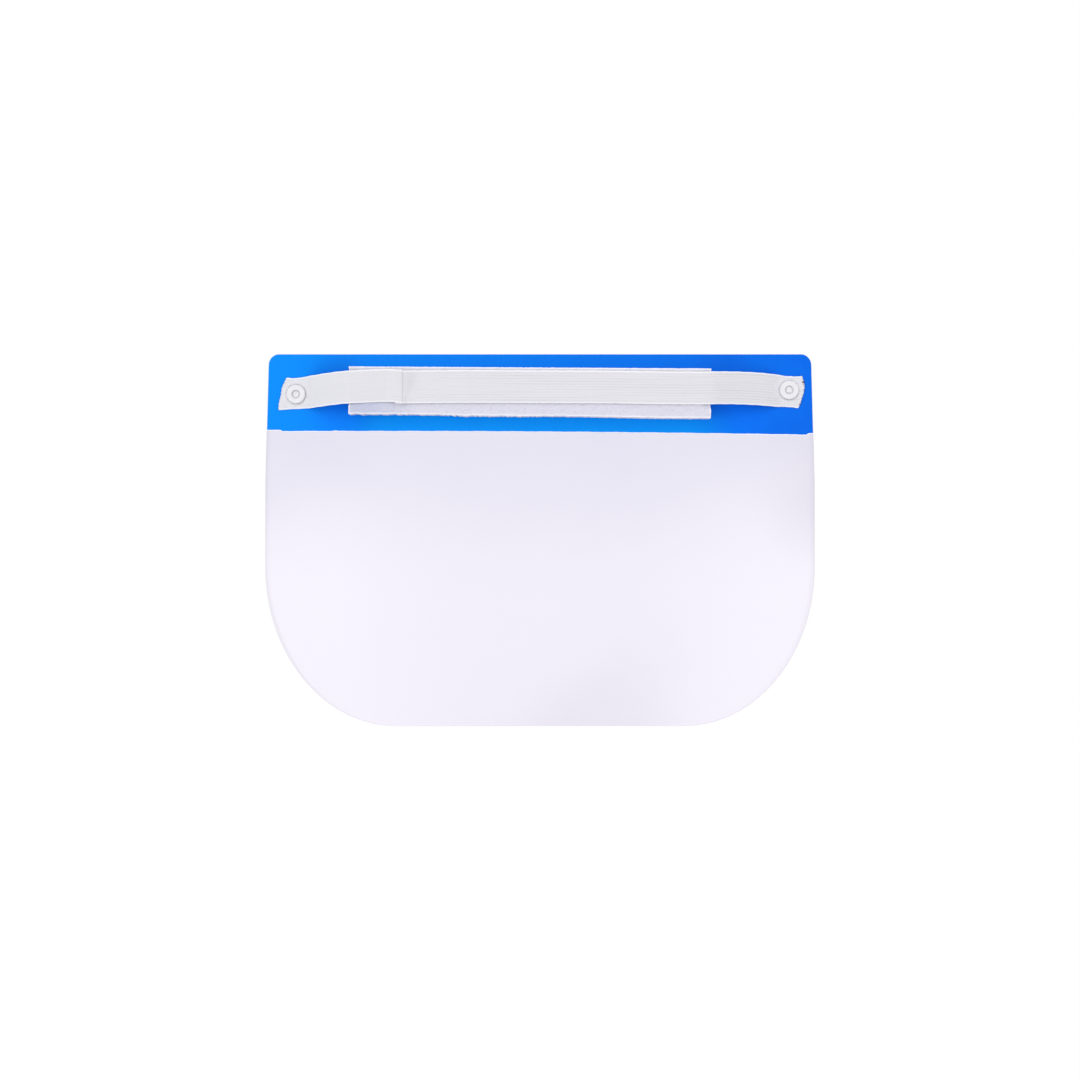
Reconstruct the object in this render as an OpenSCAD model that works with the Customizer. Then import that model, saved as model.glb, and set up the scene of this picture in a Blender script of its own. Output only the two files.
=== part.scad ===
// Disposable face shield: a clear visor sheet with a coloured header band, a foam strip
// for the forehead, and an elastic head strap held at each end by a plastic snap rivet.
// It stands as it is worn. +Z is up and +Y is the way the wearer looks. +X is the wearer's
// right. The origin is on the foam's inner face, on the sheet's centre line.

/* [Visor sheet] */
// Width of the sheet below the taper
sheet_w = 322; // [290:1:340]
// Height of the sheet
sheet_h = 218; // [190:1:260]
// Thickness of the sheet
sheet_t = 0.25; // [0.2:0.05:0.5]
// How much narrower each side is at the top
side_taper = 1.8; // [0.5:0.1:4]
// Length of the tapered stretch of each side
taper_h = 74; // [40:1:80]
// Radius of the two top corners
top_corner_r = 6.5; // [3:0.5:12]
// Width of each rounded bottom corner
bottom_corner_w = 76.5; // [30:0.5:110]
// Height of each rounded bottom corner
bottom_corner_h = 93.5; // [30:0.5:110]

/* [Header band] */
// Depth of the coloured band on the wearer's left
header_left_h = 44.5; // [40:0.1:60]
// Depth of the coloured band on the wearer's right
header_right_h = 46.6; // [40:0.1:60]
// Thickness of the band's film
header_t = 0.1; // [0.05:0.01:0.2]

/* [Forehead foam] */
// Length of the foam strip
foam_l = 211; // [180:1:230]
// Height of the foam strip
foam_h = 28.4; // [20:0.1:32]
// Thickness of the foam strip
foam_t = 20; // [15:0.5:32]
// Sideways offset of the foam from the sheet's centre line
foam_shift = -5.9; // [-8:0.1:8]
// Distance from the sheet's top edge to the middle of the foam
foam_drop = 22.8; // [20:0.1:28]
// How far the hand-laid foam is turned, its right end down
foam_tilt = 0.5; // [-1:0.1:1]
// Thickness of the double-sided tape behind the foam
tape_t = 0.2; // [0.1:0.05:0.5]
// Margin between the tape's edges and the foam's edges
tape_margin = 2; // [1:0.5:5]

/* [Head strap] */
// Width of the elastic strap
strap_w = 18.8; // [15:0.1:20]
// Thickness of the elastic strap
strap_t = 1; // [0.6:0.1:1.4]
// Height of the strap at its left end
strap_left_z = -0.3; // [-2:0.1:3]
// Height of the strap over the foam's left end
strap_foam_left_z = 2.7; // [-1:0.1:4]
// Height of the strap at its middle
strap_middle_z = 2.7; // [-1:0.1:4]
// Height of the strap over the foam's right end
strap_foam_right_z = 2.2; // [-1:0.1:4]
// Height of the strap at its right end
strap_right_z = 0.8; // [-2:0.1:3]
// Half length of the middle stretch that draws straight back
middle_half_l = 30; // [20:1:60]
// Gap between the strap and the foam, and between stretches of the strap
strap_gap = 0.4; // [0.3:0.05:0.6]
// Where the tuck's folded edge lies
tuck_x = -80; // [-95:0.5:-40]
// Length of the tuck
tuck_l = 4; // [3:0.5:12]
// Length of strap beyond each rivet
strap_tail = 7.6; // [6.5:0.1:12]
// Slant of the strap's cut ends
end_slant = 1.6; // [0:0.1:3]

/* [Snap rivets] */
// Distance from the centre line to the left rivet
left_rivet_out = 143; // [125:0.5:150]
// Distance from the centre line to the right rivet
right_rivet_out = 146; // [125:0.5:150]
// Height of the left rivet above the origin
left_rivet_z = -0.8; // [-3:0.1:4]
// Height of the right rivet above the origin
right_rivet_z = 1.7; // [-3:0.1:4]
// Diameter of the outer cap
cap_d = 12.4; // [11:0.1:13]
// Thickness of the outer cap
cap_t = 1.6; // [1.2:0.1:2]
// Diameter of the stud on the inner side
stud_d = 11; // [9:0.1:12]
// Height of the stud
stud_h = 2.2; // [1.8:0.1:3]
// Diameter of the well in the middle of the stud
well_d = 5.1; // [4:0.1:6]
// Depth of the well
well_depth = 1.2; // [0.9:0.1:1.4]
// Diameter of the cap's prong
prong_d = 3; // [2.5:0.1:3.4]
// Diameter of the prong's flattened head
prong_head_d = 3.6; // [3.5:0.1:4]
// Thickness of the prong's flattened head
prong_head_t = 0.6; // [0.4:0.1:0.8]
// Gap between a turning rivet and what it clamps
turn_gap = 0.05; // [0.02:0.01:0.1]

/* [Hidden] */

$fn = 64;
arc_steps = 24;   // chords in each bottom corner
round_steps = 8;  // chords in each top corner
far = 400;        // larger than the whole shield

// Depths along Y, from the foam's inner face outwards.
tape_y = foam_t;
header_y = tape_y + tape_t;
sheet_y = header_y + header_t;
outer_y = sheet_y + sheet_t;
tab_y = header_y - strap_t;

// Heights along Z.
top_z = foam_drop;
bottom_z = top_z - sheet_h;

// Places along X.
foam_left_x = foam_shift - foam_l / 2;
foam_right_x = foam_shift + foam_l / 2;
hinge_clear = 0.55;  // from a rivet's flange to the strap's fold line
fold_half = 0.6;     // half the space left open at a fold line
left_fold_x = -left_rivet_out + stud_d / 2 + hinge_clear;
right_fold_x = right_rivet_out - stud_d / 2 - hinge_clear;

// Depths of the strap's middle line, on the foam and at the tabs.
strap_on_foam_y = -strap_gap - strap_t / 2;
strap_on_tab_y = tab_y + strap_t / 2;

// Points of an elliptical arc about c with half axes a and b, from angle t0 to t1.
function arc(c, a, b, t0, t1, steps) =
    [for (i = [0:steps]) let (t = t0 + (t1 - t0) * i / steps) c + [a * cos(t), b * sin(t)]];

// A flat band whose middle line follows the path, w high, measured along the second axis.
function band(path, w) = concat(
    [for (p = path) p - [0, w / 2]],
    [for (i = [len(path) - 1:-1:0]) path[i] + [0, w / 2]]
);

// The sheet's outline, seen in the XZ plane.
function sheet_outline() = let (
    half = sheet_w / 2,
    top_half = half - side_taper,
    r = top_corner_r
) concat(
    arc([half - bottom_corner_w, bottom_z + bottom_corner_h],
        bottom_corner_w, bottom_corner_h, -90, 0, arc_steps),
    [[half, top_z - taper_h]],
    arc([top_half - r, top_z - r], r, r, 0, 90, round_steps),
    arc([r - top_half, top_z - r], r, r, 90, 180, round_steps),
    [[-half, top_z - taper_h]],
    arc([bottom_corner_w - half, bottom_z + bottom_corner_h],
        bottom_corner_w, bottom_corner_h, 180, 270, arc_steps)
);

// Stands a flat shape up in the XZ plane, from depth y over thickness t.
module upright(y, t) {
    translate([0, y + t, 0]) rotate([90, 0, 0]) linear_extrude(t) children();
}

// Turns a lathe profile about the Y axis through a rivet. The profile's height is the depth.
module on_rivet(x, z) {
    translate([x, 0, z]) rotate([-90, 0, 0]) children();
}

// A round hole for one rivet's prong, straight through everything it clamps.
module prong_hole(x, z) {
    on_rivet(x, z) translate([0, 0, -far / 2]) cylinder(h = far, d = prong_d + 2 * turn_gap);
}

module both_prong_holes() {
    prong_hole(-left_rivet_out, left_rivet_z);
    prong_hole(right_rivet_out, right_rivet_z);
}

// The whole strap in one, as it lies when nobody wears it: seen from above it runs from tab
// to tab over the foam, and seen from the front it drops or climbs a little to each rivet.
module whole_strap() {
    left_end = -left_rivet_out - strap_tail;
    right_end = right_rivet_out + strap_tail;
    corner_room = 1;
    past_end = 8;
    plan = [
        [left_end - past_end, strap_on_tab_y], [left_fold_x, strap_on_tab_y],
        [foam_left_x - corner_room, strap_on_foam_y], [foam_right_x + corner_room, strap_on_foam_y],
        [right_fold_x, strap_on_tab_y], [right_end + past_end, strap_on_tab_y],
    ];
    front = [
        [left_end - end_slant, strap_left_z], [left_fold_x, strap_left_z],
        [foam_left_x, strap_foam_left_z], [0, strap_middle_z], [foam_right_x, strap_foam_right_z],
        [right_fold_x, strap_right_z], [right_end, strap_right_z],
    ];
    front_shape = band(front, strap_w);
    count = len(front);
    intersection() {
        translate([0, 0, -far / 2]) linear_extrude(far) polygon(band(plan, strap_t));
        upright(-far / 2, far) difference() {
            polygon(front_shape);
            // The left end is cut on a slant, so its top corner is shorter.
            polygon([
                front_shape[2 * count - 1] + [-1, 1], front_shape[2 * count - 1] + [2 * end_slant, 1],
                front_shape[0], front_shape[0] - [1, 0],
            ]);
        }
    }
}

// The stretch of the strap between two places along X.
module strap_stretch(x0, x1) {
    intersection() {
        whole_strap();
        translate([x0, -far / 2, -far / 2]) cube([x1 - x0, far, far]);
    }
}

module visor_sheet() {
    color([0.93, 0.91, 0.96, 0.45]) difference() {
        upright(sheet_y, sheet_t) polygon(sheet_outline());
        both_prong_holes();
    }
}

module header_band() {
    color([0.05, 0.48, 0.95]) difference() {
        upright(header_y, header_t) intersection() {
            polygon(sheet_outline());
            polygon([
                [-sheet_w / 2, top_z - header_left_h], [sheet_w / 2, top_z - header_right_h],
                [sheet_w / 2, top_z + 1], [-sheet_w / 2, top_z + 1],
            ]);
        }
        both_prong_holes();
    }
}

// A block centred on the foam strip and turned with it, from depth y over thickness t.
module foam_block(y, t, margin) {
    translate([foam_shift, y, 0]) rotate([0, foam_tilt, 0])
        translate([margin - foam_l / 2, 0, margin - foam_h / 2])
            cube([foam_l - 2 * margin, t, foam_h - 2 * margin]);
}

module foam_tape() {
    color("gold") foam_block(tape_y, tape_t, tape_margin);
}

module forehead_foam() {
    color([0.9, 0.89, 0.95]) foam_block(0, foam_t, 0);
}

module strap_left_tab() {
    color("whitesmoke") difference() {
        strap_stretch(-far, left_fold_x - fold_half);
        prong_hole(-left_rivet_out, left_rivet_z);
    }
}

// The left span carries the tuck, two more layers of strap just left of its folded edge.
module strap_left_span() {
    tuck_h = strap_w - 1;
    tuck_z = strap_foam_left_z + 0.2;
    color("whitesmoke") {
        strap_stretch(left_fold_x + fold_half, -middle_half_l - strap_gap);
        translate([tuck_x - tuck_l, strap_on_foam_y - 2.5 * strap_t, tuck_z - tuck_h / 2])
            cube([tuck_l, 2.2 * strap_t, tuck_h]);
    }
}

module strap_middle() {
    color("whitesmoke") strap_stretch(-middle_half_l, middle_half_l);
}

module strap_right_span() {
    color("whitesmoke")
        strap_stretch(middle_half_l + strap_gap, right_fold_x - fold_half);
}

module strap_right_tab() {
    color("whitesmoke") difference() {
        strap_stretch(right_fold_x + fold_half, far);
        prong_hole(right_rivet_out, right_rivet_z);
    }
}

// The outer cap with its prong, which goes through the sheet, the band, the strap and the
// stud, and ends in a head that is flattened in the stud's well.
module cap(x, z) {
    inner_y = outer_y + turn_gap;
    edge_r = 0.7;
    well_y = tab_y - turn_gap - stud_h + well_depth;
    color("white") on_rivet(x, z) {
        rotate_extrude() {
            translate([0, inner_y]) square([cap_d / 2, cap_t - edge_r]);
            translate([0, inner_y]) square([cap_d / 2 - edge_r, cap_t]);
            intersection() {
                translate([cap_d / 2 - edge_r, inner_y + cap_t - edge_r]) circle(edge_r);
                translate([0, inner_y]) square([cap_d / 2, cap_t]);
            }
        }
        translate([0, 0, well_y]) cylinder(h = inner_y - well_y, d = prong_d);
        translate([0, 0, well_y - prong_head_t]) cylinder(h = prong_head_t, d = prong_head_d);
    }
}

// The inner half of a snap rivet: a round-shouldered disc with a well in its middle.
module stud(x, z) {
    base_y = tab_y - turn_gap;
    shoulder_r = 1.1;
    fit_gap = 0.02;
    color("white") on_rivet(x, z) difference() {
        rotate_extrude() {
            translate([0, base_y - stud_h + shoulder_r])
                square([stud_d / 2, stud_h - shoulder_r]);
            translate([0, base_y - stud_h]) square([stud_d / 2 - shoulder_r, stud_h]);
            translate([stud_d / 2 - shoulder_r, base_y - stud_h + shoulder_r]) intersection() {
                circle(shoulder_r);
                translate([0, -shoulder_r]) square([shoulder_r, 2 * shoulder_r]);
            }
        }
        translate([0, 0, base_y - stud_h - 1]) cylinder(h = well_depth + 1, d = well_d);
        translate([0, 0, base_y - stud_h - 1])
            cylinder(h = stud_h + 2, d = prong_d + 2 * fit_gap);
    }
}

module left_cap() { cap(-left_rivet_out, left_rivet_z); }
module right_cap() { cap(right_rivet_out, right_rivet_z); }
module left_stud() { stud(-left_rivet_out, left_rivet_z); }
module right_stud() { stud(right_rivet_out, right_rivet_z); }

visor_sheet();
header_band();
foam_tape();
forehead_foam();
strap_left_tab();
strap_left_span();
strap_middle();
strap_right_span();
strap_right_tab();
left_cap();
left_stud();
right_cap();
right_stud();
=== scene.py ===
"""Looks of a disposable face shield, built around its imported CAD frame.

The frame stands as it is worn: +X is the width, +Y the way the wearer looks, +Z up. The camera
looks at the shield's inner side, so the foam and the strap face it. All lengths are in metres.
"""

import math

import bpy
import bmesh
import numpy as np
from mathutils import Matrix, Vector, noise


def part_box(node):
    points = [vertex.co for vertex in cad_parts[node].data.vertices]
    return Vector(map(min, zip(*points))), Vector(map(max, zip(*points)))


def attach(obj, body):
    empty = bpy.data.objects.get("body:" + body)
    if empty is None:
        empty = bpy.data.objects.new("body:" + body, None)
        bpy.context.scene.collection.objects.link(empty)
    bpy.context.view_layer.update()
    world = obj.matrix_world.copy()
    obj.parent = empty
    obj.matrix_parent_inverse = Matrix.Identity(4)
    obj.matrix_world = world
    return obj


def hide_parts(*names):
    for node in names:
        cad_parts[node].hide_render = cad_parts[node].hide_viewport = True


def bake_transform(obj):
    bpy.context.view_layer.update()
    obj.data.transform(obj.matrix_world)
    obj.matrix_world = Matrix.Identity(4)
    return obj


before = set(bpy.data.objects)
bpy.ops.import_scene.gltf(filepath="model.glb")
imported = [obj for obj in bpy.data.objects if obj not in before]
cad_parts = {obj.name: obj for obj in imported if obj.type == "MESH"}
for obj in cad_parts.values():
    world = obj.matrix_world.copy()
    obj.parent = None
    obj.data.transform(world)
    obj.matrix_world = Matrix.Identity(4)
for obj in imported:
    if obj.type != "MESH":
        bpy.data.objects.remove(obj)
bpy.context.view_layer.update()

MM = 0.001

# ---------------------------------------------------------------- places, from the frame
def middle_of(node):
    low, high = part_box(node)
    return (low + high) / 2


SHEET_LOW, SHEET_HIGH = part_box("visor_sheet")
BAND_LOW, BAND_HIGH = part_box("header_band")
FOAM_LOW, FOAM_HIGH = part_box("forehead_foam")
HALF_W = SHEET_HIGH.x
TOP_Z, BOTTOM_Z = SHEET_HIGH.z, SHEET_LOW.z

LEFT_RIVET = middle_of("left_cap")
RIGHT_RIVET = middle_of("right_cap")

FOLD_GAP = 1.2 * MM  # between each tab and its span; the strap folds at its middle
LEFT_END_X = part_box("strap_left_tab")[0].x
LEFT_FOLD_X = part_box("strap_left_span")[0].x - FOLD_GAP / 2
RIGHT_FOLD_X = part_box("strap_right_span")[1].x + FOLD_GAP / 2
RIGHT_END_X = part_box("strap_right_tab")[1].x

# ---------------------------------------------------------------- sizes kept as in the design
SIDE_TAPER, TAPER_H = 1.8 * MM, 74 * MM
TOP_R = 6.5 * MM
CORNER_W, CORNER_H = 76.5 * MM, 93.5 * MM
BAND_LEFT_H, BAND_RIGHT_H = 44.5 * MM, 46.6 * MM
CARRIER_H = 0.45 * MM  # how far the film's pale carrier shows below the blue print
FOAM_L, FOAM_H, FOAM_T = 211 * MM, 28.4 * MM, 20 * MM
FOAM_TILT = math.radians(0.5)
STRAP_W, STRAP_T = 18.8 * MM, 1.0 * MM
RIBS, RIB_DEPTH, FLAT_RIB_DEPTH = 12, 0.22 * MM, 0.09 * MM
LEFT_LINE = [  # (x, height) of the strap's middle line in mm, from its left end to its tuck
    (-153, -0.6), (-141, -0.2), (-134, 0.6), (-119, 2.2), (-104, 3.0), (-92, 3.5), (-86, 3.45),
    (-80, 2.8),
]
RIGHT_LINE = [  # and from the tuck to its right end
    (-80, 2.6), (-52, 2.9), (0, 2.8), (35, 2.65), (92, 2.1), (117, 2.4), (130, 2.0),
    (138, 1.4), (146, 0.8), (155, 0.5),
]
LEFT_CUT = [  # (place across the strap, x) of the left cut end in mm
    (0, -153.3), (0.21, -153.0), (0.47, -151.8), (0.7, -151.2), (0.88, -149.6), (1, -148.6),
]
RIGHT_CUT = [
    (0, 151.2), (0.1, 152.4), (0.3, 153.4), (0.45, 154.4), (0.66, 155.0), (0.8, 154.8),
    (0.93, 153.9), (1, 153.6),
]
LEFT_BURNT = [(0.06, 0.03, 0.25)]  # (place across the strap, width, strength) of brown spots
RIGHT_BURNT = [(0.81, 0.028, 1.3), (0.72, 0.02, 0.6), (0.58, 0.02, 0.4), (0.38, 0.03, 0.3),
               (0.12, 0.025, 0.65)]
TUCK_X, TUCK_L = -80 * MM, 4 * MM
LAYER = 1.06 * MM  # from one layer of the tuck to the next
STUD_R = 5.5 * MM
WELL_R, WELL_DEPTH = 2.55 * MM, 1.2 * MM
PRONG_R, PRONG_HEAD_R, PRONG_HEAD_H = 1.5 * MM, 1.8 * MM, 0.6 * MM
CAP_R, CAP_T = 6.2 * MM, 1.6 * MM


# ---------------------------------------------------------------- mesh helpers
def smoothstep(x):
    x = np.clip(x, 0, 1)
    return x * x * (3 - 2 * x)


def new_object(name, verts, faces, materials, smooth=True):
    """A mesh object with outward normals, from points and faces."""
    mesh = bpy.data.meshes.new(name)
    mesh.from_pydata([tuple(v) for v in np.asarray(verts, float)], [], faces)
    work = bmesh.new()
    work.from_mesh(mesh)
    bmesh.ops.recalc_face_normals(work, faces=work.faces)
    work.to_mesh(mesh)
    work.free()
    mesh.polygons.foreach_set("use_smooth", [smooth] * len(mesh.polygons))
    obj = bpy.data.objects.new(name, mesh)
    bpy.context.scene.collection.objects.link(obj)
    for material in materials:
        mesh.materials.append(material)
    return obj


def point_values(obj, name, grid, both=True):
    """Stores a value at each point of a slab: on both of its grids and its rim, or only on the
    front grid, which is the wearer's side."""
    front = grid.ravel()
    rest = np.concatenate([front, front[rim_order(*grid.shape)]])
    values = obj.data.attributes.new(name, "FLOAT", "POINT")
    values.data.foreach_set("value", np.concatenate([front, rest if both else 0 * rest]))


def grid_faces(rows, cols, start=0, closed=False):
    """Quads of a grid of rows by cols points. A closed grid's last column joins its first."""
    faces = []
    for r in range(rows - 1):
        for c in range(cols if closed else cols - 1):
            d = (c + 1) % cols
            a = start + r * cols
            faces.append((a + c, a + d, a + cols + d, a + cols + c))
    return faces


def rim_order(rows, cols):
    """Indices round the edge of a grid, once."""
    top = list(range(cols))
    right = [r * cols + cols - 1 for r in range(1, rows)]
    bottom = [(rows - 1) * cols + c for c in range(cols - 2, -1, -1)]
    left = [r * cols for r in range(rows - 2, 0, -1)]
    return top + right + bottom + left


def slab(name, front, back, materials, bulge=0.0, flush_end=False):
    """A closed sheet between two grids of the same shape. Its edge is rounded by bulge. A
    flush end is square, so that the last row can butt against another piece unseen."""
    rows, cols = front.shape[:2]
    size = rows * cols
    order = rim_order(rows, cols)
    edge = (front.reshape(-1, 3)[order] + back.reshape(-1, 3)[order]) / 2
    along = np.roll(edge, -1, 0) - np.roll(edge, 1, 0)
    through = back.reshape(-1, 3)[order] - front.reshape(-1, 3)[order]
    out = np.cross(along, through)
    out /= np.maximum(np.linalg.norm(out, axis=1, keepdims=True), 1e-12)
    middle = edge.mean(0)
    if ((edge - middle) * out).sum() < 0:
        out = -out
    out *= bulge
    square = set(range((rows - 1) * cols, size)) if flush_end else set()
    out[[i for i, k in enumerate(order) if k in square]] = 0
    edge = edge + out
    verts = np.concatenate([front.reshape(-1, 3), back.reshape(-1, 3), edge])
    faces = grid_faces(rows, cols) + grid_faces(rows, cols, size)
    count = len(order)
    for i in range(count):
        j = (i + 1) % count
        a, b, c, d = order[i], order[j], 2 * size + i, 2 * size + j
        faces += [(a, b, d, c), (c, d, size + b, size + a)]
    obj = new_object(name, verts, faces, materials)
    if flush_end:
        for e in obj.data.edges:
            if all(k < 2 * size and k % size in square for k in e.vertices):
                e.use_edge_sharp = True
    if len(materials) > 1:  # the last material is the cut edge's
        index = [0] * len(faces)
        index[-2 * count:] = [len(materials) - 1] * (2 * count)
        obj.data.polygons.foreach_set("material_index", index)
    return obj


def lathe(name, profile, centre, materials, wobble=None):
    """A closed solid turned about the Y axis through centre. The profile's points are
    (radius, depth), from the axis out and back to the axis. wobble(angle, radius, depth)
    gives what to add to a point's radius and depth."""
    steps = 96
    inner = profile[1:-1]
    verts = [(centre.x, profile[0][1], centre.z)]
    for radius, depth in inner:
        for i in range(steps):
            angle = 2 * math.pi * i / steps
            dr, dy = wobble(angle, radius, depth) if wobble else (0, 0)
            verts.append((
                centre.x + (radius + dr) * math.cos(angle), depth + dy,
                centre.z + (radius + dr) * math.sin(angle),
            ))
    verts.append((centre.x, profile[-1][1], centre.z))
    faces = grid_faces(len(inner), steps, 1, closed=True)
    last = len(verts) - 1
    ring = last - steps
    for i in range(steps):
        j = (i + 1) % steps
        faces += [(0, 1 + i, 1 + j), (last, ring + j, ring + i)]
    return new_object(name, verts, faces, materials)


def fillet(cx, cy, r, start, end, steps=6):
    """Points of an arc in a lathe profile, in degrees."""
    angles = [math.radians(start + (end - start) * i / steps) for i in range(steps + 1)]
    return [(cx + r * math.cos(a), cy + r * math.sin(a)) for a in angles]


# ---------------------------------------------------------------- material helpers
class Nodes:
    """A short way to write a material's node tree."""

    def __init__(self, name):
        self.material = bpy.data.materials.new(name)
        self.material.use_nodes = True
        self.tree = self.material.node_tree
        self.tree.nodes.clear()
        self.output = self.tree.nodes.new("ShaderNodeOutputMaterial")

    def add(self, kind, settings=None, **inputs):
        """A node with its settings and inputs. An input is a value or a socket to link, and
        is called by its name, or by its number as i0, i1 and so on."""
        node = self.tree.nodes.new("ShaderNode" + kind)
        for key, value in (settings or {}).items():
            setattr(node, key, value)
        for key, value in inputs.items():
            by_number = key[0] == "i" and key[1:].isdigit()
            socket = node.inputs[int(key[1:]) if by_number else key.replace("_", " ")]
            if isinstance(value, bpy.types.NodeSocket):
                self.tree.links.new(value, socket)
            else:
                socket.default_value = value
        return node

    def place(self):
        """The piece's own coordinates, in metres."""
        return self.add("TexCoord").outputs["Object"]

    def stored(self, name):
        """A value that is stored at the mesh's points."""
        return self.add("Attribute", {"attribute_name": name}).outputs["Fac"]

    def math(self, operation, a, b=0.0, c=0.0):
        return self.add("Math", {"operation": operation}, i0=a, i1=b, i2=c).outputs[0]

    def noise(self, scale, detail, where=None):
        """Cloudy noise from 0 to 1, with scale features per metre."""
        node = self.add("TexNoise", Scale=scale, Detail=detail, Roughness=0.55,
                        Vector=where or self.place())
        return node.outputs["Fac"]

    def stretched(self, x, y, z):
        """The piece's coordinates, scaled apart along each axis."""
        return self.add("Mapping", Vector=self.place(), Scale=(x, y, z)).outputs[0]

    def range(self, value, low, high, to_low=0.0, to_high=1.0, smooth=True):
        """A value taken from the range low to high to another range, and kept within it."""
        kind = {"interpolation_type": "SMOOTHSTEP" if smooth else "LINEAR"}
        return self.add("MapRange", kind, i0=value, i1=low, i2=high, i3=to_low,
                        i4=to_high).outputs[0]

    def mix(self, factor, a, b):
        """Two colours mixed by factor. A colour is three numbers or a socket to link."""
        a, b = [c if isinstance(c, bpy.types.NodeSocket) else (*c, 1) for c in (a, b)]
        return self.add("Mix", {"data_type": "RGBA"}, i0=factor, i6=a, i7=b).outputs[2]

    def toward(self, colour, other, where, share):
        """A colour moved toward another one, by share of where."""
        return self.mix(self.math("MULTIPLY", where, share), colour, other)

    def blob(self, centre, reach):
        """1 at a point of the piece, falling smoothly to 0 at reach from it, across Y."""
        parts = self.add("SeparateXYZ", Vector=self.place()).outputs
        flat = self.add("CombineXYZ", X=parts[0], Z=parts[2]).outputs[0]
        away = self.add("VectorMath", {"operation": "DISTANCE"}, i0=flat,
                        i1=(centre[0], 0, centre[1])).outputs["Value"]
        return self.range(away, 0.0, reach, 1.0, 0.0)

    def bump(self, height, distance, strength):
        return self.add("Bump", Height=height, Distance=distance, Strength=strength).outputs[0]

    def principled(self, **inputs):
        return self.add("BsdfPrincipled", **inputs)

    def finish(self, shader):
        self.tree.links.new(shader, self.output.inputs["Surface"])
        return self.material


# ---------------------------------------------------------------- materials
def clear_sheet_material():
    """Clear plastic sheet with a faint lavender cast. Painted shade deepens the cast near the
    band and along the upper sides, two darker patches of painted shade sit at its sides, and
    painted light leaves it almost clear toward the lower corners."""
    n = Nodes("clear_sheet")
    parts = n.add("SeparateXYZ", Vector=n.place()).outputs
    down = n.range(parts[2], -0.02, -0.125)
    aside = n.range(n.math("ABSOLUTE", parts[0]), 0.03, 0.13)
    cloud = n.range(n.noise(14.0, 2.0), 0.3, 0.7)
    # Painted shade and light: darker up toward the band, lighter down and out toward the lower
    # corners.
    tint = n.mix(down, (0.846, 0.836, 0.899), (0.902, 0.884, 0.936))
    tint = n.toward(tint, (0.930, 0.912, 0.957), aside, down)
    # Two darker patches of painted shade at the sides.
    tint = n.toward(tint, (0.845, 0.825, 0.882), n.blob((0.168, -0.058), 0.05), 0.9)
    tint = n.toward(tint, (0.862, 0.850, 0.910), n.blob((-0.168, -0.058), 0.04), 0.5)
    tint = n.toward(tint, (0.95, 0.93, 0.97), cloud, 0.12)
    scuffs = n.range(n.noise(1.0, 4.0, n.stretched(700, 700, 90)), 0.4, 0.8)
    rough = n.range(scuffs, 0, 1, 0.07, 0.11, smooth=False)
    bonded = n.stored("bonded")
    tint = n.mix(bonded, tint, (1.0, 1.0, 1.0))
    clear = n.add("BsdfTransparent", Color=tint).outputs[0]
    gloss = n.add("BsdfGlossy", Color=(0.97, 0.96, 1.0, 1), Roughness=rough).outputs[0]
    haze = n.add("BsdfDiffuse", Color=(0.86, 0.84, 0.92, 1)).outputs[0]
    hazed = n.add("MixShader", i0=0.012, i1=clear, i2=haze).outputs[0]
    # Both faces reflect alike: 4 % head on, and more toward grazing angles. Where the film is
    # bonded to the inner face, that face has no air behind it and doesn't reflect.
    facing = n.add("LayerWeight", Blend=0.5).outputs["Facing"]
    grazing = n.math("MULTIPLY_ADD", n.math("POWER", facing, 5.0), 0.96, 0.04)
    grazing = n.math("MULTIPLY", grazing, n.math("SUBTRACT", 1.0, bonded))
    return n.finish(n.add("MixShader", i0=grazing, i1=hazed, i2=gloss).outputs[0])


def sheet_edge_material():
    """The sheet's cut edge, which gathers light and looks denser than its faces."""
    n = Nodes("sheet_edge")
    chips = n.range(n.noise(700.0, 2.0), 0.3, 0.7)
    colour = n.mix(chips, (0.62, 0.62, 0.72), (0.80, 0.80, 0.88))
    clear = n.add("BsdfTransparent", Color=colour).outputs[0]
    shine = n.principled(Base_Color=colour, Roughness=0.35).outputs[0]
    return n.finish(n.add("MixShader", i0=0.45, i1=clear, i2=shine).outputs[0])


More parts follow.
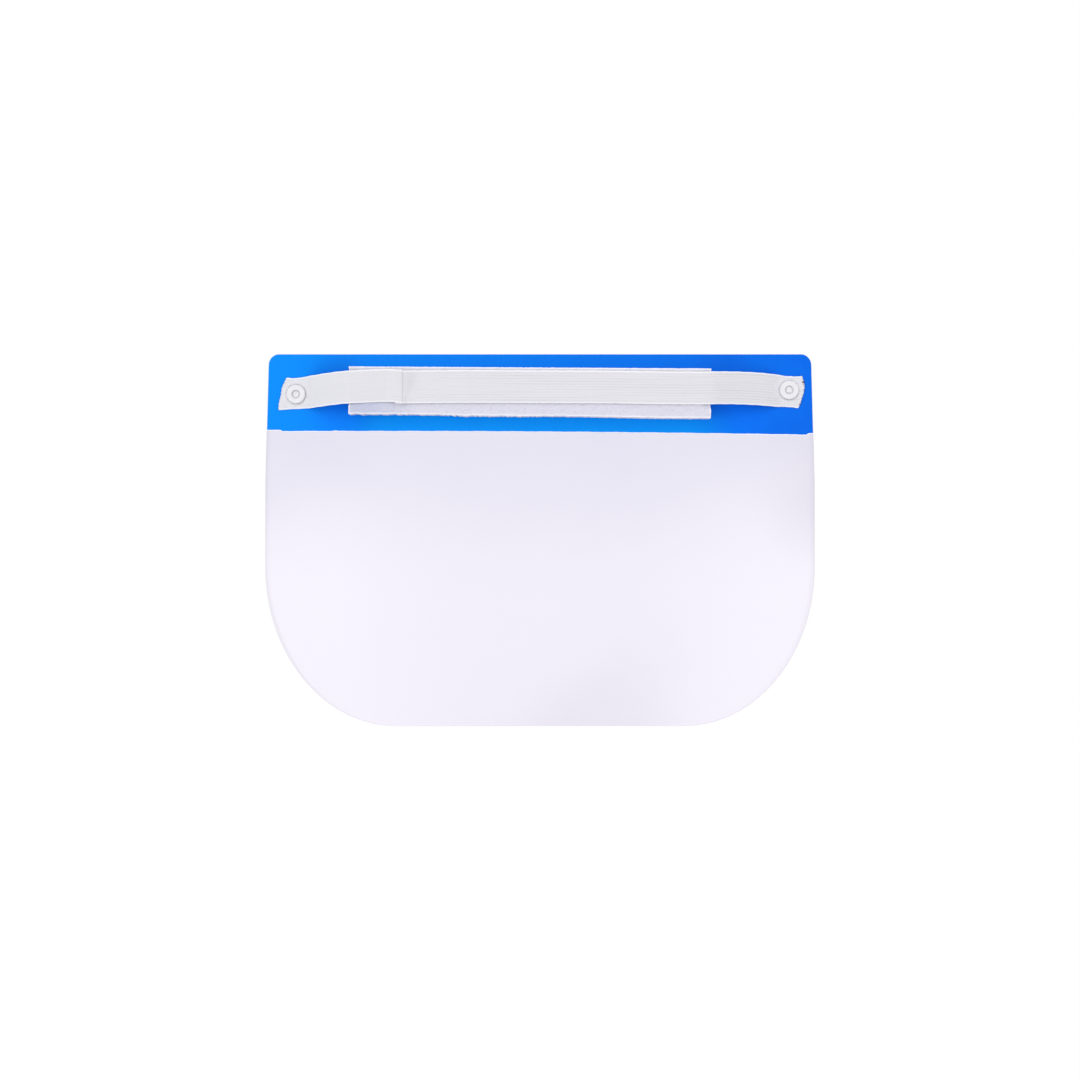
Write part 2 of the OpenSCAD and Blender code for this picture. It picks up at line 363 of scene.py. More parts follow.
def blue_film_material():
    """Printed blue film. Painted light makes it lighter at the left and darker at the right. On
    the wearer's side it has painted light below the foam, and painted shade and painted light
    round the strap's two slopes."""
    n = Nodes("blue_film")
    parts = n.add("SeparateXYZ", Vector=n.place()).outputs
    inner = n.stored("inner")
    # Painted light: lighter at the left, where the light comes from, and darker at the right.
    across = n.range(parts[0], -HALF_W, HALF_W, smooth=False)
    blue = n.mix(across, (0.001, 0.235, 0.84), (0.001, 0.118, 0.69))
    # Painted light below the foam, on the wearer's side, for light thrown back from the foam onto
    # the film.
    along = n.range(n.math("ABSOLUTE", parts[0]), 0.085, 0.125, 1.0, 0.0)
    below = n.math("MULTIPLY", along, n.range(parts[2], -0.008, -0.016))
    below = n.math("MULTIPLY", below, inner)
    blue = n.toward(blue, (0.001, 0.32, 0.98), below, 0.8)
    # Painted shade beside the strap where its slopes rise off the film at the foam's ends.
    painted_shade_at_slopes = n.math("ADD", n.blob((-0.118, 0.006), 0.024), n.blob((0.108, 0.008), 0.026))
    painted_shade_at_slopes = n.math("MULTIPLY", painted_shade_at_slopes, inner)
    blue = n.toward(blue, (0.001, 0.105, 0.66), painted_shade_at_slopes, 0.5)
    # Painted light below the strap's two slopes, which brightens the shade that falls there.
    painted_light_at_slopes = n.math("ADD", n.blob((-0.117, -0.009), 0.026), n.blob((0.116, -0.009), 0.03))
    painted_light_at_slopes = n.math("MULTIPLY", painted_light_at_slopes, inner)
    blue = n.toward(blue, (0.001, 0.17, 1.0), painted_light_at_slopes, 0.55)
    mottle = n.range(n.noise(60.0, 4.0), 0.3, 0.7)
    blue = n.toward(blue, (0.002, 0.215, 0.9), mottle, 0.12)
    grain = n.noise(2600.0, 2.0)
    normal = n.bump(n.math("ADD", n.noise(220.0, 3.0), grain), 0.00001, 0.4)
    rough = n.range(n.noise(150.0, 4.0), 0.3, 0.7, 0.36, 0.5, smooth=False)
    shader = n.principled(Base_Color=blue, Roughness=rough, Normal=normal,
                          Specular_IOR_Level=0.05)
    return n.finish(shader.outputs[0])


def film_edge_material():
    """The pale carrier of the film, seen along its cut edge."""
    n = Nodes("film_edge")
    colour = n.mix(n.noise(900.0, 2.0), (0.80, 0.80, 0.86), (0.92, 0.91, 0.95))
    return n.finish(n.principled(Base_Color=colour, Roughness=0.6).outputs[0])


def tape_material():
    """Double-sided foam tape with a faint wrinkle."""
    n = Nodes("adhesive_tape")
    colour = n.mix(n.range(n.noise(400.0, 4.0), 0.3, 0.7), (0.72, 0.66, 0.46), (0.84, 0.80, 0.64))
    normal = n.bump(n.noise(500.0, 3.0), 0.0001, 0.6)
    return n.finish(n.principled(Base_Color=colour, Roughness=0.45, Normal=normal).outputs[0])


def foam_material():
    """Open-cell foam: pale lavender walls, with painted shade in the pores between them, a
    painted shadow under the strap at the left end, and a painted highlight along the cut edges.
    """
    n = Nodes("foam")
    pores = n.add("TexVoronoi", {"feature": "DISTANCE_TO_EDGE"}, Vector=n.place(),
                  Scale=1100.0).outputs["Distance"]
    large = n.add("TexVoronoi", {"feature": "F1"}, Vector=n.place(), Scale=520.0,
                  Randomness=1.0).outputs["Distance"]
    wall = n.range(pores, 0.02, 0.22)
    pore = n.math("MULTIPLY", wall, n.range(large, 0.1, 0.5, 1.0, 0.35))
    # Painted shade in the pores, darker toward each cell's middle.
    colour = n.mix(pore, (0.645, 0.635, 0.73), (0.53, 0.52, 0.62))
    cloud = n.range(n.noise(38.0, 3.0), 0.3, 0.7)
    colour = n.toward(colour, (0.655, 0.645, 0.74), cloud, 0.3)
    # Painted shadow of the strap on the foam's lower left, where the strap stands off it beside
    # the tuck.
    colour = n.toward(colour, (0.44, 0.475, 0.63), n.blob((-0.104, -0.012), 0.036), 0.75)
    # Painted highlight along the foam's cut edges.
    colour = n.toward(colour, (0.92, 0.91, 0.95), n.stored("rim"), 0.9)
    height = n.math("SUBTRACT", 1.0, pore)
    normal = n.bump(height, 0.0003, 0.5)
    shader = n.principled(Base_Color=colour, Roughness=0.95, Normal=normal,
                          Specular_IOR_Level=0.1, Sheen_Weight=0.15, Sheen_Roughness=0.6)
    return n.finish(shader.outputs[0])


def elastic_material():
    """Woven elastic: fine slanting threads across the ribs, with a little fuzz. Its colour also
    carries painted shade in the rib grooves and beside the tuck, painted light round the studs
    and a painted highlight along its edges.
    """
    n = Nodes("elastic")
    slant = n.add("TexWave", {"wave_type": "BANDS", "bands_direction": "DIAGONAL"},
                  Vector=n.stretched(1.0, 1.0, 1.5), Scale=520.0, Distortion=1.6, Detail=2.0,
                  Detail_Scale=1.5).outputs["Fac"]
    cross = n.add("TexWave", {"wave_type": "BANDS", "bands_direction": "X"},
                  Vector=n.place(), Scale=640.0, Distortion=2.2, Detail=2.0,
                  Detail_Scale=2.0).outputs["Fac"]
    weave = n.math("MULTIPLY", slant, cross)
    fuzz = n.noise(3200.0, 3.0)
    height = n.math("ADD", n.math("MULTIPLY", weave, 0.8), n.math("MULTIPLY", fuzz, 0.4))
    normal = n.bump(height, 0.00012, 0.8)
    worn = n.range(n.noise(55.0, 4.0), 0.35, 0.65)
    colour = n.mix(weave, (0.645, 0.64, 0.685), (0.715, 0.71, 0.745))
    colour = n.toward(colour, (0.675, 0.67, 0.71), worn, 0.35)
    # Painted shade in the grooves between the ribs.
    colour = n.toward(colour, (0.50, 0.495, 0.55), n.stored("groove"), 0.55)
    # Painted shade in the wedge beside the tuck.
    painted_tuck_shade = n.blob((TUCK_X + 0.004, 0.007), 0.009)
    colour = n.toward(colour, (0.52, 0.51, 0.56), painted_tuck_shade, 0.25)
    for rivet in (LEFT_RIVET, RIGHT_RIVET):  # painted light round each stud, against the shade it casts on the strap
        colour = n.mix(n.blob((rivet.x, rivet.z), 0.010), colour, (0.86, 0.855, 0.89))
    # Painted highlight along the strap's edges.
    colour = n.toward(colour, (0.93, 0.93, 0.95), n.stored("rim"), 0.85)
    char = n.stored("char")
    colour = n.mix(n.range(char, 0.1, 0.5), colour, (0.26, 0.17, 0.10))
    colour = n.mix(n.range(char, 0.5, 0.9), colour, (0.008, 0.007, 0.007))
    rough = n.range(fuzz, 0.3, 0.7, 0.75, 0.95, smooth=False)
    shader = n.principled(Base_Color=colour, Roughness=rough, Normal=normal,
                          Specular_IOR_Level=0.2, Sheen_Weight=0.2, Sheen_Roughness=0.5)
    return n.finish(shader.outputs[0])


def white_plastic_material():
    """Moulded white acetal, with a faint flow pattern and fine handling marks."""
    n = Nodes("white_plastic")
    flow = n.range(n.noise(300.0, 3.0), 0.35, 0.65)
    colour = n.mix(flow, (0.665, 0.66, 0.695), (0.70, 0.695, 0.73))
    marks = n.noise(1500.0, 4.0)
    normal = n.bump(marks, 0.00003, 0.5)
    rough = n.range(marks, 0.3, 0.7, 0.22, 0.38, smooth=False)
    shader = n.principled(Base_Color=colour, Roughness=rough, Normal=normal,
                          Specular_IOR_Level=0.5)
    return n.finish(shader.outputs[0])


def floor_material():
    """Plain white board."""
    n = Nodes("floor")
    colour = n.mix(n.noise(6.0, 3.0), (0.92, 0.92, 0.92), (0.925, 0.925, 0.925))
    return n.finish(n.principled(Base_Color=colour, Roughness=0.9,
                                 Specular_IOR_Level=0.0).outputs[0])


# ---------------------------------------------------------------- visor sheet and band
def half_width(z):
    """Half the sheet's width at height z."""
    bottom = BOTTOM_Z + CORNER_H
    taper = TOP_Z - TAPER_H
    top_corner = TOP_Z - TOP_R
    if z < bottom:
        t = min(1.0, (bottom - z) / CORNER_H)
        return HALF_W - CORNER_W + CORNER_W * math.sqrt(1 - t * t)
    if z < taper:
        return HALF_W
    side = HALF_W - SIDE_TAPER * min(1.0, (z - taper) / (TAPER_H - TOP_R))
    if z < top_corner:
        return side
    t = min(1.0, (z - top_corner) / TOP_R)
    return side - TOP_R + TOP_R * math.sqrt(1 - t * t)


def sheet_rows():
    """Heights of the sheet's rows, from the bottom up, close together where corners round and
    at the band's lower edge."""
    corner = [BOTTOM_Z + CORNER_H * (1 - math.cos(math.radians(a))) for a in
              np.linspace(0, 90, 41)]
    band_edge = TOP_Z - (BAND_LEFT_H + BAND_RIGHT_H) / 2
    near = 2.5 * MM
    levels = [BOTTOM_Z + CORNER_H, band_edge - near, band_edge + near, TOP_Z - TOP_R]
    side = []
    for low, high, count in zip(levels, levels[1:], (28, 11, 14)):
        side += list(np.linspace(low, high, count))[1:]
    top = [TOP_Z - TOP_R + TOP_R * math.sin(math.radians(a)) for a in np.linspace(0, 90, 13)][1:]
    return corner + side + top


def sheet_bow(x, z):
    """How far the thin sheet stands off its plane: nothing near the band, then a slight curl
    of the lower corners toward the wearer and a faint wave."""
    down = smoothstep((-0.035 - z) / 0.16)
    curl = -2.2 * MM * (np.abs(x) / HALF_W) ** 3
    wave = 0.35 * MM * np.sin(x * 34 + 0.6) * np.sin(z * 22 + 0.9)
    return down * (curl + wave)


def visor_piece(materials):
    cols = 121
    rows = sheet_rows()
    u = np.linspace(-1, 1, cols)
    front = np.zeros((len(rows), cols, 3))
    back = np.zeros_like(front)
    for i, z in enumerate(rows):
        x = u * half_width(z)
        off = sheet_bow(x, z)
        front[i] = np.stack([x, SHEET_LOW.y + off, np.full(cols, z)], 1)
        back[i] = np.stack([x, SHEET_HIGH.y + off, np.full(cols, z)], 1)
    sheet = slab("visor", front, back, materials, bulge=0.05 * MM)
    margin = 0.6 * MM  # the film's lower edge shows a little of the sheet's own face
    hidden = front[..., 2] > band_bottom(front[..., 0]) + margin
    point_values(sheet, "bonded", hidden.astype(float), both=False)
    return sheet


def band_bottom(x):
    """Height of the band's lower edge, which steps up a little where the film was trimmed."""
    slope = (BAND_LEFT_H - BAND_RIGHT_H) * (x + HALF_W) / (2 * HALF_W)
    z = TOP_Z - BAND_LEFT_H + slope
    z += (0.2 - 0.9 * (x / HALF_W) ** 2) * MM  # the film was laid in a slight curve
    z += 0.7 * MM * (1 - smoothstep((x + HALF_W - 8 * MM) / (1.2 * MM)))
    z += 1.0 * MM * smoothstep((x - HALF_W + 3.6 * MM) / (0.8 * MM))
    z += 0.35 * MM * np.exp(-((x - FOAM_LOW.x + 9 * MM) / (1.2 * MM)) ** 2)
    z += 0.06 * MM * np.sin(x * 310) + 0.04 * MM * np.sin(x * 1130 + 1)
    return z


def band_piece(materials):
    """The film, a hair in front of the sheet so that the two never share a surface."""
    inset, clear = 0.15 * MM, 0.02 * MM
    cols = 321
    u = np.linspace(-1, 1, cols)
    low = band_bottom(u * HALF_W)
    side = np.linspace(0, 1, 24)
    top = [math.sin(math.radians(a)) for a in np.linspace(0, 90, 13)][1:]
    corner_z = TOP_Z - TOP_R
    levels = [low - CARRIER_H]
    levels += [(low * (1 - s) + corner_z * s) for s in side]
    levels += [np.full(cols, corner_z + (TOP_R - inset) * t) for t in top]
    front = np.zeros((len(levels), cols, 3))
    back = np.zeros_like(front)
    for i, z in enumerate(levels):
        width = np.array([half_width(v) for v in z]) - inset
        front[i] = np.stack([u * width, np.full(cols, BAND_LOW.y - clear), z], 1)
        back[i] = np.stack([u * width, np.full(cols, BAND_HIGH.y - clear), z], 1)
    film = slab("header_film", front, back, materials, bulge=0.03 * MM)
    for polygon in film.data.polygons:  # the carrier shows below the print
        row = min(k % (len(levels) * cols) // cols for k in polygon.vertices)
        if max(polygon.vertices) < 2 * len(levels) * cols and row == 0:
            polygon.material_index = 1
    point_values(film, "inner", np.ones(front.shape[:2]), both=False)
    return film


# ---------------------------------------------------------------- foam
def box_surface(counts):
    """The surface of a block of counts cells along each axis: points counted in cells, and
    each quad's four point numbers."""
    ny, nz = counts[1] + 1, counts[2] + 1
    quads = []
    for axis in range(3):
        a, b = [k for k in range(3) if k != axis]
        ia, ib = np.meshgrid(np.arange(counts[a]), np.arange(counts[b]), indexing="ij")
        for side in (0, counts[axis]):
            corner = np.zeros((4, ia.size, 3), int)
            for k, (da, db) in enumerate(((0, 0), (1, 0), (1, 1), (0, 1))):
                corner[k, :, a] = ia.ravel() + da
                corner[k, :, b] = ib.ravel() + db
                corner[k, :, axis] = side
            quads.append(corner)
    quads = np.concatenate(quads, 1)
    keys = (quads[..., 0] * ny + quads[..., 1]) * nz + quads[..., 2]
    unique, index = np.unique(keys, return_inverse=True)
    cells = np.stack([unique // (ny * nz), unique // nz % ny, unique % nz], 1).astype(float)
    return cells, [tuple(quad) for quad in index.reshape(keys.shape).T.tolist()]


def foam_piece(material):
    """The foam strip: a sharp-cut block whose skin is broken by open cells, squeezed a little
    where the strap bends over its two ends."""
    pitch = 0.62 * MM
    size = np.array([FOAM_L, FOAM_T, FOAM_H])
    counts = [round(length / pitch) for length in size]
    grid, faces = box_surface(counts)
    flat = grid / np.array(counts) * size - size / 2
    points = flat

    # Round the cut edges, then push the skin in where cells are open.
    radius = 0.2 * MM
    core = np.clip(points, -(size / 2 - radius), size / 2 - radius)
    out = points - core
    length = np.linalg.norm(out, axis=1, keepdims=True)
    normal = out / np.maximum(length, 1e-9)
    points = core + normal * radius
    edge = (np.abs(normal) > 0.25).sum(1) > 1
    large_cells, fine_cells = 560.0, 1150.0  # per metre
    cells = np.zeros(len(points))
    for i, p in enumerate(points):
        near = noise.voronoi(Vector(p) * large_cells)[0]
        fine = noise.voronoi(Vector(p) * fine_cells + Vector((3, 5, 7)))[0]
        cells[i] = 0.30 * min(1.0, (near[1] - near[0]) * 2.2) \
            + 0.12 * min(1.0, (fine[1] - fine[0]) * 2.0)
    depth = cells * MM * np.where(edge, 1.3, 1.0)
    off_tape = smoothstep((FOAM_T / 2 - points[:, 1]) / (1.5 * MM))
    points -= normal * (depth * off_tape)[:, None]

    # The squeeze under the strap at each end.
    reach = 7 * MM
    end = np.clip((np.abs(points[:, 0]) - (FOAM_L / 2 - reach)) / reach, 0, 1)
    face = np.clip((-points[:, 1] - (FOAM_T / 2 - reach)) / reach, 0, 1)
    under = 1 - smoothstep((np.abs(points[:, 2] - 2 * MM) - 8.5 * MM) / (3 * MM))
    squeeze = 1.2 * MM * end * face * under
    points[:, 0] -= np.sign(points[:, 0]) * squeeze * 0.7
    points[:, 1] += squeeze * 0.7

    # The lower cut is ragged, more so at the left. The strip is a little taller at the right.
    ragged = np.array([noise.noise(Vector((x * 700, 0.5, 0))) +
                       noise.noise(Vector((x * 1500, 7.5, 0))) for x in points[:, 0]])
    rougher = 0.35 + 0.65 * (1 - smoothstep((points[:, 0] + 0.03) / 0.06))
    rougher *= smoothstep((FOAM_L / 2 - np.abs(points[:, 0])) / (5 * MM))
    near_low = smoothstep((-points[:, 2] - FOAM_H / 2 + 2 * MM) / (2 * MM))
    points[:, 2] += (0.42 * MM * ragged * rougher + 0.2 * MM * np.sin(points[:, 0] * 61)) \
        * near_low
    points[:, 2] *= 1 + 0.022 * points[:, 0] / (FOAM_L / 2)

    # The sharp edges of the cut get a painted highlight.
    from_side = np.sort(size / 2 - np.abs(flat), axis=1)
    rim = 1 - smoothstep(from_side[:, 1] / (1.3 * MM))

    c, s = math.cos(FOAM_TILT), math.sin(FOAM_TILT)
    x = points[:, 0] * c + points[:, 2] * s
    z = -points[:, 0] * s + points[:, 2] * c
    centre = (FOAM_LOW + FOAM_HIGH) / 2
    placed = np.stack([x + centre.x, points[:, 1] + centre.y, z + centre.z], 1)
    obj = new_object("foam_strip", placed, faces, [material])
    values = obj.data.attributes.new("rim", "FLOAT", "POINT")
    values.data.foreach_set("value", rim)
    return obj


# ---------------------------------------------------------------- elastic strap
def smooth_line(points):
    """A smooth curve through (x, y) points in mm, as a function of x in metres."""
    xs, ys = np.array(points, float).T * MM
    slopes = np.gradient(ys, xs)

    def at(x):
        x = np.clip(x, xs[0], xs[-1])
        i = np.clip(np.searchsorted(xs, x) - 1, 0, len(xs) - 2)
        span = xs[i + 1] - xs[i]
        t = (x - xs[i]) / span
        return ((2 * t + 1) * (t - 1) ** 2 * ys[i] + t * t * (3 - 2 * t) * ys[i + 1]
                + span * t * (t - 1) * ((t - 1) * slopes[i] + t * slopes[i + 1]))
    return at


def rounded_path(corners, radii, step):
    """Points along a path of straight lines whose corners are rounded, about step apart."""
    corners = [np.array(c, float) for c in corners]
    bends = [corners[0]]
    for (a, p, b), radius in zip(zip(corners, corners[1:], corners[2:]), radii):
        to_a, to_b = (a - p) / np.linalg.norm(a - p), (b - p) / np.linalg.norm(b - p)
        half = math.acos(float(np.clip(to_a @ to_b, -1, 1))) / 2
        start = p + to_a * radius / math.tan(half)
        centre = p + (to_a + to_b) / np.linalg.norm(to_a + to_b) * radius / math.sin(half)
        turned = (start - centre) @ np.array([[0, 1], [-1, 0]])
        if turned @ (to_b - to_a) < 0:
            turned = -turned
        sweep = math.pi - 2 * half
        for t in np.linspace(0, sweep, max(4, math.ceil(radius * sweep / step)) + 1):
            bends.append(centre + (start - centre) * math.cos(t) + turned * math.sin(t))
    bends.append(corners[-1])
    points = [bends[0]]
    for p in bends[1:]:
        gap = np.linalg.norm(p - points[-1])
        parts = max(1, round(gap / step))
        points += [points[-1] + (p - points[-1]) * k / parts for k in range(1, parts + 1)]
    return np.array(points)


def smooth_cut(points):
    """Where a cut end lies across the strap: through (place, x in mm) points, and frayed."""
    places, xs = np.array(points, float).T

    def at(v):
        fray = 0.25 * np.sin(v * 37 + 1) * np.sin(v * 91) + 0.12 * np.sin(v * 211)
        return (np.interp(v, places, xs) + fray) * MM
    return at


def path_length(path):
    return float(np.linalg.norm(np.diff(path, axis=0), axis=1).sum())


def strap_half(name, path, free_x, burnt, height, rib_depth, rivet, raise_by, material):
    """Half of the strap, as a closed ribbed band along a path of (x, y) points.

    free_x(v) is where the free end is cut, at v from 0 at the lower edge to 1 at the upper
    one. burnt lists (v, width, strength) of the spots that the hot cutter browned there.
    height(x, s) is the middle line's height, rib_depth(x) the ribs' depth, rivet the
    middle of the rivet that clamps this half, and raise_by(x, z, s) how far the strap stands
    toward the wearer, with s the distance from the free end.
    """
    v = np.linspace(0, 1, RIBS * 7 + 1)
    tangent = np.gradient(path, axis=0)
    tangent /= np.linalg.norm(tangent, axis=1, keepdims=True)
    if path[-1, 0] < path[0, 0]:  # the front is on the wearer's side whichever way it runs
        tangent = -tangent
    normal = np.stack([tangent[:, 1], -tangent[:, 0]], 1)
    s = np.concatenate([[0], np.cumsum(np.linalg.norm(np.diff(path, axis=0), axis=1))])
    rib = np.abs(np.sin(math.pi * RIBS * v)) ** 0.5
    nearest = np.round(v * RIBS)  # the groove that a point is nearest
    selvedge = 0.45 + 0.55 * smoothstep(np.minimum(v, 1 - v) / 0.022)
    # Where the painted highlight along the strap's two edges is laid.
    rim = np.tile(1 - smoothstep(np.minimum(v, 1 - v) / 0.045), (len(path), 1))
    ring = STUD_R + 1.5 * MM  # how far from the rivet's middle the strap is puckered most
    front = np.zeros((len(path), len(v), 3))
    back = np.zeros_like(front)
    groove = np.zeros((len(path), len(v)))
    char = sum(strength * np.exp(-((v - place) / width) ** 2) for place, width, strength in burnt)
    char = np.exp(-(s[:, None] / (0.9 * MM)) ** 2) * char
    for i, (x, y) in enumerate(path):
        half = STRAP_W / 2 + 0.07 * MM * math.sin(x * 5200) + 0.05 * MM * math.sin(x * 830)
        pinch = math.exp(-((x - rivet.x) / (5.5 * MM)) ** 2)
        half -= 0.45 * MM * pinch
        z = height(x, s[i]) + (2 * v - 1) * half
        end = smoothstep(s[i] / (7 * MM))
        placed = x + (free_x(v) - path[0, 0]) * (1 - end)
        away = np.hypot(placed - rivet.x, z - rivet.z)
        angle = np.arctan2(z - rivet.z, placed - rivet.x)
        under = 1 - smoothstep((away - STUD_R) / (0.9 * MM))
        swell = np.exp(-((away - ring) / (1.0 * MM)) ** 2)
        spread = np.exp(-((away - ring) / (3.2 * MM)) ** 2) * (1 - under)
        pucker = 0.10 * MM * swell + 0.17 * MM * spread * np.sin(angle * 9 + 1.2 * v)
        thick = (STRAP_T / 2 - 0.04 * MM) * selvedge
        worn = rib_depth(x) * (0.62 + 0.38 * np.sin(x * 47 + 2.4 * nearest) *
                               np.sin(x * 19 + 1.7 * nearest))
        # How deep a point lies in a rib's groove, which sets the painted shade there.
        groove[i] = (1 - rib) ** 1.5 * worn / RIB_DEPTH * (1 - under)
        wander = 0.05 * MM * np.sin(x * 140 + v * 9) * end
        ribs = worn * (rib - 1) * (1 - under)
        lift = raise_by(x, z, s[i]) + wander
        for grid, sign in ((front, 1), (back, -1)):
            out = sign * (thick + ribs - 0.16 * MM * under) - 0.14 * MM * under + lift
            if sign > 0:
                out = out + pucker
            grid[i, :, 0] = placed + normal[i, 0] * out
            grid[i, :, 1] = y + normal[i, 1] * out
            grid[i, :, 2] = z
    half_strap = slab(name, front, back, [material], bulge=0.12 * MM, flush_end=True)
    point_values(half_strap, "groove", groove)
    point_values(half_strap, "char", char)
    point_values(half_strap, "rim", rim)
    return half_strap


def strap_pieces(material):
    """The strap's two halves, which meet at the middle of the foam, and their paths."""
    on_foam, on_tab = middle_of("strap_middle").y, middle_of("strap_left_tab").y
    left_line, right_line = smooth_line(LEFT_LINE), smooth_line(RIGHT_LINE)
    step = 0.5 * MM
    clear = 0.6 * MM  # how far the strap stands off the foam's ends

    # Left half: tab, slope, over the tuck's two lower layers, back under itself, and on along
    # the foam to the middle.
    top = on_foam - 2 * LAYER
    tuck_start = TUCK_X - TUCK_L
    left_corners = [
        (LEFT_END_X + 1.6 * MM, on_tab), (LEFT_FOLD_X, on_tab), (FOAM_LOW.x - clear, on_foam),
        (tuck_start - 4.2 * MM, on_foam), (tuck_start + 0.2 * MM, top + 0.1 * MM), (TUCK_X, top),
        (TUCK_X, top + LAYER), (tuck_start, top + LAYER), (tuck_start, on_foam), (0, on_foam),
    ]
    left_radii = np.array([7, 6, 3, 2.4] + [0.52] * 4) * MM
    left_path = rounded_path(left_corners, left_radii, step)
    turn = path_length(left_path[:int(np.argmax(left_path[:, 0] > TUCK_X - 0.1 * MM)) + 1])

    def left_height(x, s):
        under = smoothstep((s - turn) / (1.5 * TUCK_L))
        return left_line(x) * (1 - under) + right_line(x) * under

    def left_raise(x, z, s):
        """The top layer is wrinkled beside the tuck. The strap comes out from under it as a
        slope, short at the lower edge and long at the upper one, with a small knot."""
        if s < turn - 1.2 * MM:
            valley = -0.14 * MM * math.exp(-((x - TUCK_X + 4.4 * MM) / (1.0 * MM)) ** 2)
            wrinkle = 0.22 * MM * np.exp(-((x - TUCK_X + 4 * MM) / (2.6 * MM)) ** 2
                                         - ((z + 2.2 * MM) / (0.45 * MM)) ** 2)
            return valley + wrinkle
        if s < turn + 2 * TUCK_L:
            return 0 * z
        past = x - TUCK_X
        wedge = 2.0 * MM + np.maximum(0, z + 6.0 * MM) * 0.40
        slope = 1 - smoothstep((past - 0.6 * MM) / wedge)
        start = smoothstep((past + 0.6 * MM) / (1.2 * MM))
        knot = np.exp(-(((past - 4.4 * MM) / (1.3 * MM)) ** 2 + ((z + 3.6 * MM) / MM) ** 2))
        return start * (1.5 * MM * slope + 0.15 * MM) * (past < 40 * MM) + 0.4 * MM * knot

    def left_ribs(x):
        """The ribs are pulled almost flat between the rivet and the tuck."""
        past_tuck = float(smoothstep((x - TUCK_X) / (70 * MM)))
        return FLAT_RIB_DEPTH + (RIB_DEPTH - FLAT_RIB_DEPTH) * past_tuck

    left = strap_half("strap_left", left_path, smooth_cut(LEFT_CUT), LEFT_BURNT, left_height,
                      left_ribs, LEFT_RIVET, left_raise, material)

    right_corners = [
        (RIGHT_END_X - 0.6 * MM, on_tab), (RIGHT_FOLD_X, on_tab), (FOAM_HIGH.x + clear, on_foam),
        (0, on_foam),
    ]
    right_path = rounded_path(right_corners, [12 * MM, 12 * MM], step)
    right = strap_half("strap_right", right_path, smooth_cut(RIGHT_CUT), RIGHT_BURNT,
                       lambda x, s: right_line(x), lambda x: RIB_DEPTH, RIGHT_RIVET,
                       lambda x, z, s: 0 * z, material)
    return (left, left_path), (right, right_path)


# ---------------------------------------------------------------- snap rivets
def stud_piece(name, node, material):
    """A stud: rounded outer shoulder, dished ring, and a well with a soft lip."""
    low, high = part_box(node)
    centre = (low + high) / 2
    base, top = high.y, low.y
    shoulder = 0.85 * MM
    lip = 0.22 * MM
    floor_y = top + WELL_DEPTH
    profile = [(0, base), (STUD_R - 0.25 * MM, base)]
    profile += fillet(STUD_R - 0.25 * MM, base - 0.25 * MM, 0.25 * MM, 90, 0, 3)
    profile += fillet(STUD_R - shoulder, top + shoulder, shoulder, 0, -90, 10)
    profile += [(STUD_R - 1.6 * MM, top + 0.10 * MM), (STUD_R - 2.0 * MM, top + 0.16 * MM)]
    profile += fillet(WELL_R + lip, top + 0.05 * MM + lip, lip, -80, -180, 8)
    profile += [(WELL_R - 0.1 * MM, floor_y - 0.2 * MM), (WELL_R - 0.35 * MM, floor_y),
                (0, floor_y)]
    return lathe(name, profile, centre, [material])


def cap_piece(name, node, material, phase):
    """A cap on the outer side, its prong, and the prong's pressed head in the stud's well."""
    low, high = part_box(node)
    centre = (low + high) / 2
    outer, head = high.y, low.y
    inner = outer - CAP_T
    edge = 0.7 * MM
    profile = [(0, outer - 0.12 * MM), (0.5 * MM, outer - 0.10 * MM), (0.8 * MM, outer)]
    profile += [(CAP_R - 1.3 * MM, outer)]
    profile += fillet(CAP_R - edge, outer - edge, edge, 90, 0, 8)
    profile += fillet(CAP_R - 0.2 * MM, inner + 0.2 * MM, 0.2 * MM, 0, -90, 3)
    profile += [(PRONG_R + 0.3 * MM, inner), (PRONG_R, inner - 0.3 * MM)]
    profile += [(PRONG_R, head + PRONG_HEAD_H + 0.05 * MM)]
    round_r = 0.25 * MM
    profile += fillet(PRONG_HEAD_R - round_r, head + PRONG_HEAD_H - round_r, round_r, 80, 0, 4)
    profile += fillet(PRONG_HEAD_R - 0.35 * MM, head + 0.35 * MM, 0.35 * MM, -10, -80, 4)
    profile += [(0.7 * MM, head + 0.08 * MM), (0.45 * MM, head + 0.2 * MM), (0, head + 0.22 * MM)]

    def pressed(angle, radius, depth):
        """The head was crushed flat, so it is a little uneven."""
        if depth > head + PRONG_HEAD_H or radius < 0.3 * MM:
            return 0, 0
        return (0.09 * MM * math.sin(angle * 3 + phase) + 0.05 * MM * math.sin(angle * 7),
                0.05 * MM * math.sin(angle * 2 + phase))

    return lathe(name, profile, centre, [material], wobble=pressed)


# ---------------------------------------------------------------- camera, light and floor
PHOTO_SPAN = 0.6334   # width of the picture at the sheet
DISTANCE = 2.2        # from the sheet to the camera
FLOOR_Z = BOTTOM_Z - 0.35


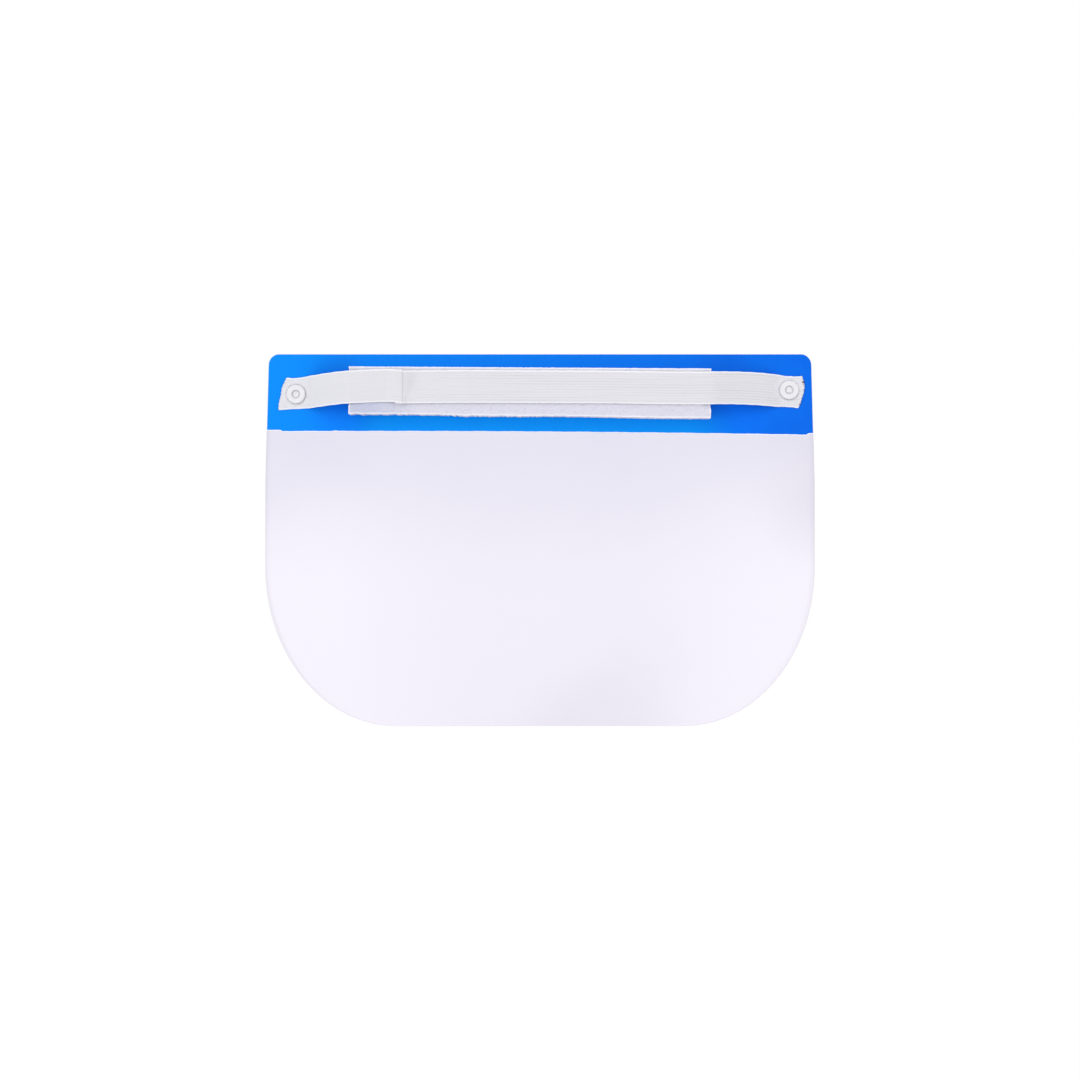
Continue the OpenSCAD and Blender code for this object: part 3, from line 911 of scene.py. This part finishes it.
def camera():
    data = bpy.data.cameras.new("camera")
    data.sensor_width = 36
    data.lens = 36 * DISTANCE / PHOTO_SPAN
    data.clip_start = 0.01
    obj = bpy.data.objects.new("camera", data)
    obj.location = (0, SHEET_LOW.y - DISTANCE, (BOTTOM_Z + TOP_Z) / 2)
    obj.rotation_euler = (math.radians(90), 0, 0)
    bpy.context.scene.collection.objects.link(obj)
    bpy.context.scene.camera = obj


def lights():
    world = bpy.data.worlds.new("world")
    world.use_nodes = True
    world.node_tree.nodes["Background"].inputs["Color"].default_value = (1, 1, 1, 1)
    world.node_tree.nodes["Background"].inputs["Strength"].default_value = 1.0
    bpy.context.scene.world = world
    sun = bpy.data.lights.new("key", "SUN")
    sun.energy = 0.8
    sun.angle = math.radians(60)
    obj = bpy.data.objects.new("key", sun)
    obj.rotation_euler = Vector((0.3, 1.0, -0.42)).to_track_quat("-Z", "Y").to_euler()
    bpy.context.scene.collection.objects.link(obj)


def floor():
    half = 6.0
    verts = [(-half, -half, FLOOR_Z), (half, -half, FLOOR_Z), (half, half, FLOOR_Z),
             (-half, half, FLOOR_Z)]
    obj = new_object("floor", verts, [(0, 1, 2, 3)], [floor_material()], smooth=False)


# ---------------------------------------------------------------- the whole shield
bpy.context.scene.view_settings.view_transform = "Standard"
camera()
lights()
floor()

clear_sheet = clear_sheet_material()
foam = foam_material()
elastic = elastic_material()
plastic = white_plastic_material()

visor = visor_piece([clear_sheet, sheet_edge_material()])
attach(visor, "visor")
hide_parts("visor_sheet")

band = band_piece([blue_film_material(), film_edge_material()])
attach(band, "visor")
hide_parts("header_band")

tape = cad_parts["foam_tape"]
tape.data.materials.clear()
tape.data.materials.append(tape_material())

foam_strip = foam_piece(foam)
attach(foam_strip, "visor")
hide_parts("forehead_foam")

(strap_left, left_path), (strap_right, right_path) = strap_pieces(elastic)
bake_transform(strap_left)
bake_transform(strap_right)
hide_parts("strap_left_tab", "strap_left_span")
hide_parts("strap_right_tab", "strap_right_span", "strap_middle")

for side, phase in (("left", 0.4), ("right", 2.1)):
    stud = stud_piece(f"{side}_snap_stud", f"{side}_stud", plastic)
    cap = cap_piece(f"{side}_snap_cap", f"{side}_cap", plastic, phase)
    for piece, node in ((stud, f"{side}_stud"), (cap, f"{side}_cap")):
        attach(piece, f"{side}_rivet")
        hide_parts(node)
